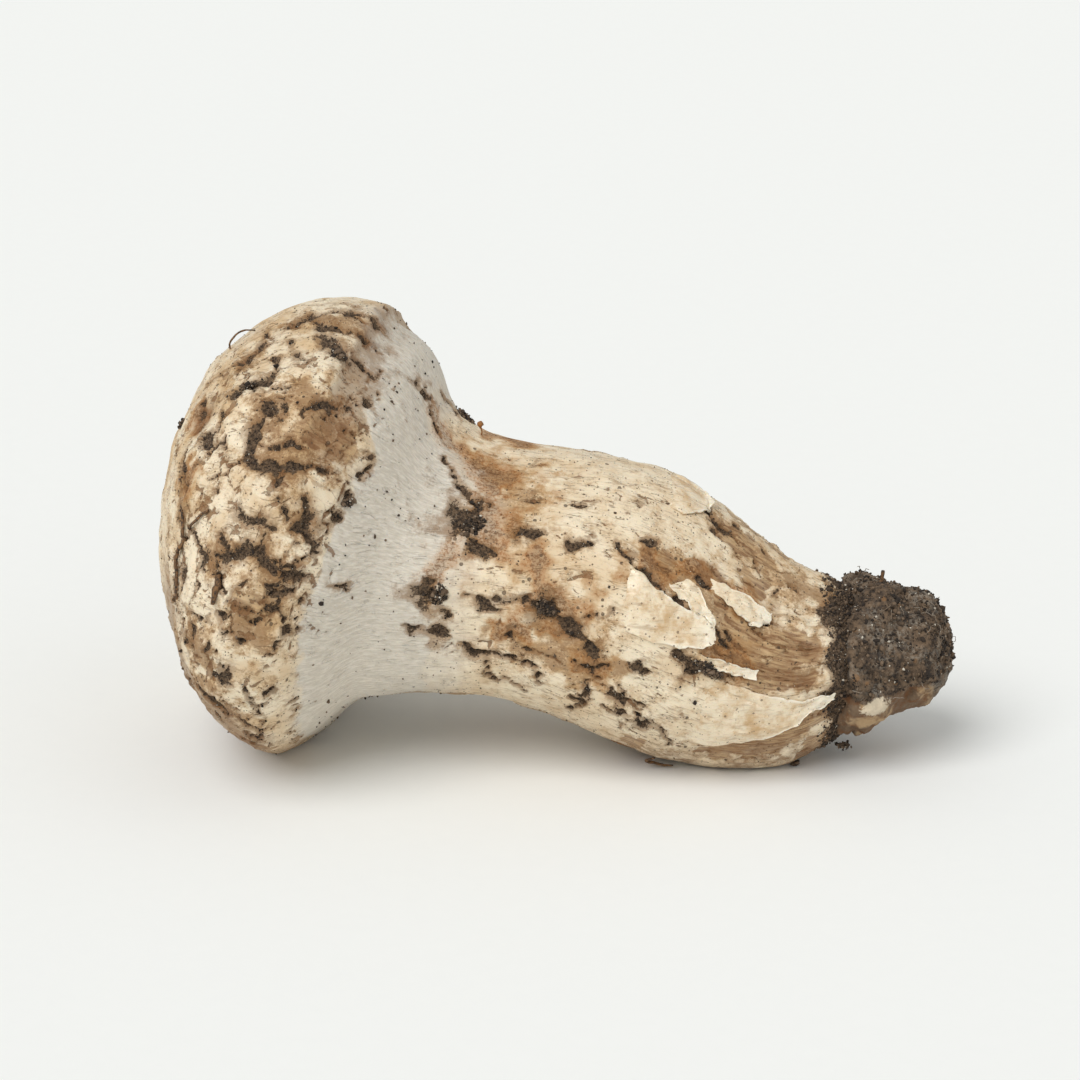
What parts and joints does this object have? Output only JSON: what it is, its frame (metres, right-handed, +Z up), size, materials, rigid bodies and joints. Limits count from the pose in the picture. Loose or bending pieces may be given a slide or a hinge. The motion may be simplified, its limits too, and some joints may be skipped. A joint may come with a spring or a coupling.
{
  "type": "matsutake mushroom",
  "caption": "Young closed-cap matsutake mushroom lying on its side, with earth caked round its foot and bits of forest litter clinging to its skin.",
  "frame": {"origin": "on the resting surface, under the middle of the object's box", "axes": "+Z up from the resting surface; +X from the crown of the cap towards the foot of the stem; -Y towards the side that shows the veil best"},
  "size_m": [0.1198, 0.073, 0.0688],
  "materials": {
    "skin": "dry fibrous mushroom skin, cream to white with brown scales and stains, matte",
    "earth": "damp crumbly forest soil, dark brown, rough",
    "rootlet": "fine dry roots and needles, matte brown",
    "husk": "thin papery seed husk, satin reddish brown"
  },
  "bodies": {
    "root": {"mushroom_body": "skin", "earth_crust": "earth", "soil_clod_crest": "earth", "soil_clod_shoulder": "earth", "soil_clod_brow": "earth", "soil_clod_margin": "earth", "soil_clod_neck": "earth", "soil_clod_collar": "earth", "soil_clod_flank": "earth", "soil_clod_stem": "earth", "soil_clod_scale": "earth", "soil_crumb_belly": "earth", "soil_crumb_foot": "earth", "rootlet_arched": "rootlet", "rootlet_long": "rootlet", "rootlet_branch": "rootlet", "pine_needle_bit": "rootlet", "rootlet_curled": "rootlet", "husk_on_stalk": "husk", "root_stub": "rootlet"}
  },
  "joints": []
}
